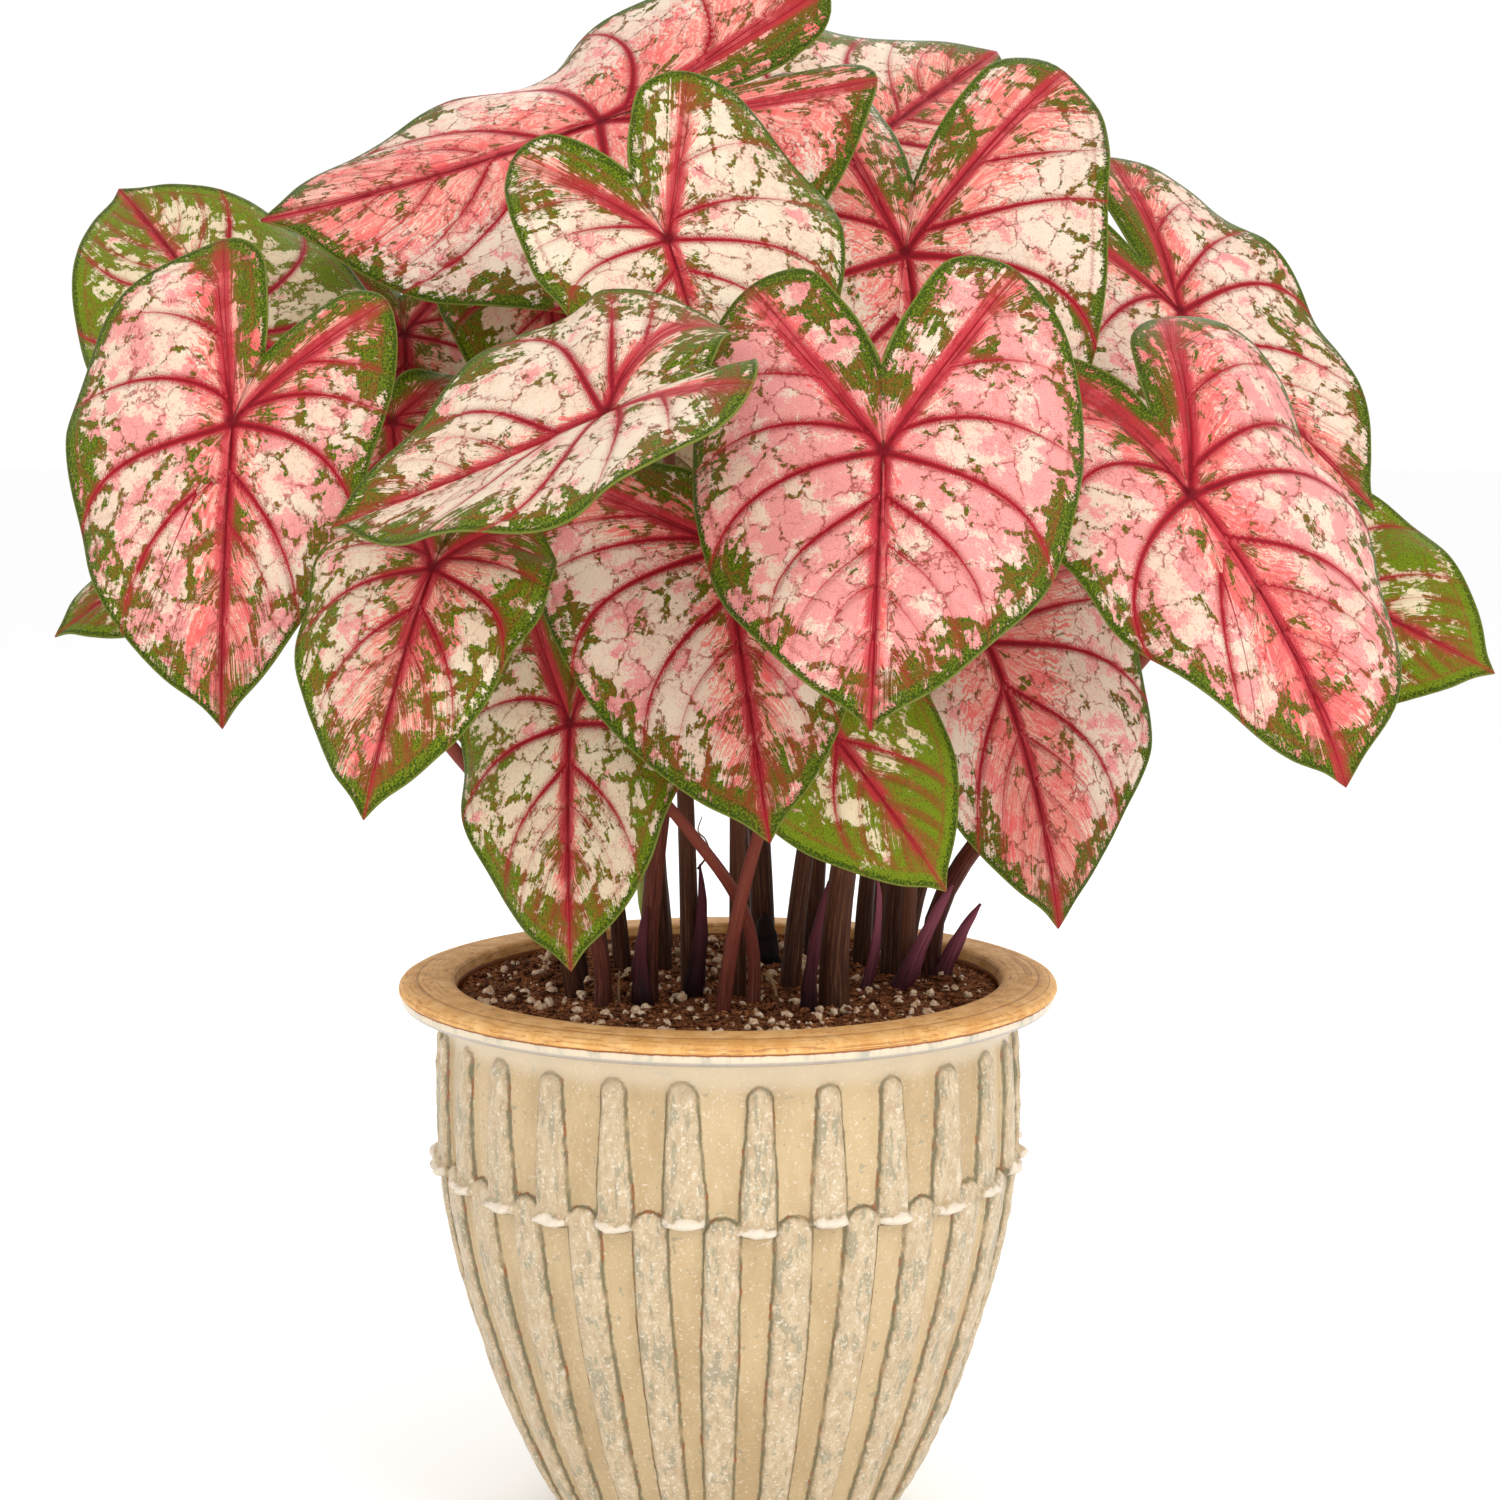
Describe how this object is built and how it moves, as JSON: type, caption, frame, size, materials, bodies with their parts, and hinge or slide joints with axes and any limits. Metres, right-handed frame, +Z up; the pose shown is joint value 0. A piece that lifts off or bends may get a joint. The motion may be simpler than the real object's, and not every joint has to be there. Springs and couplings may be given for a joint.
{
  "type": "potted caladium",
  "caption": "Leafy heart-leaved aroid with slender stems standing in soil, in a round ribbed stoneware pot with a flat rim.",
  "frame": {"origin": "middle of the pot's flat base, on the surface it stands on", "axes": "+Z up along the pot's axis, -Y towards the front of the plant, +X to its right as seen from the front"},
  "size_m": [0.5875, 0.4927, 0.6398],
  "materials": {
    "glaze": "satin",
    "soil": "matte",
    "leaf": "satin",
    "stem": "satin"
  },
  "bodies": {
    "root": {"pot": "glaze", "soil": "soil", "leaf_01": "leaf", "leaf_02": "leaf", "leaf_03": "leaf", "leaf_04": "leaf", "leaf_05": "leaf", "leaf_06": "leaf", "leaf_07": "leaf", "leaf_08": "leaf", "leaf_09": "leaf", "leaf_10": "leaf", "leaf_11": "leaf", "leaf_12": "leaf", "leaf_13": "leaf", "leaf_14": "leaf", "leaf_15": "leaf", "leaf_16": "leaf", "leaf_17": "leaf", "leaf_18": "leaf", "leaf_19": "leaf", "leaf_20": "leaf", "leaf_21": "leaf", "leaf_22": "leaf", "leaf_23": "leaf", "leaf_24": "leaf", "leaf_25": "leaf", "leaf_26": "leaf", "petiole_01": "stem", "petiole_02": "stem", "petiole_03": "stem", "petiole_04": "stem", "petiole_05": "stem", "petiole_06": "stem", "petiole_07": "stem", "petiole_08": "stem", "petiole_09": "stem", "petiole_10": "stem", "petiole_11": "stem", "petiole_12": "stem", "petiole_13": "stem", "petiole_14": "stem", "petiole_15": "stem", "petiole_16": "stem", "petiole_17": "stem", "petiole_18": "stem", "petiole_19": "stem", "petiole_20": "stem", "petiole_21": "stem", "petiole_22": "stem", "petiole_23": "stem", "petiole_24": "stem", "petiole_25": "stem", "petiole_26": "stem"}
  },
  "joints": []
}
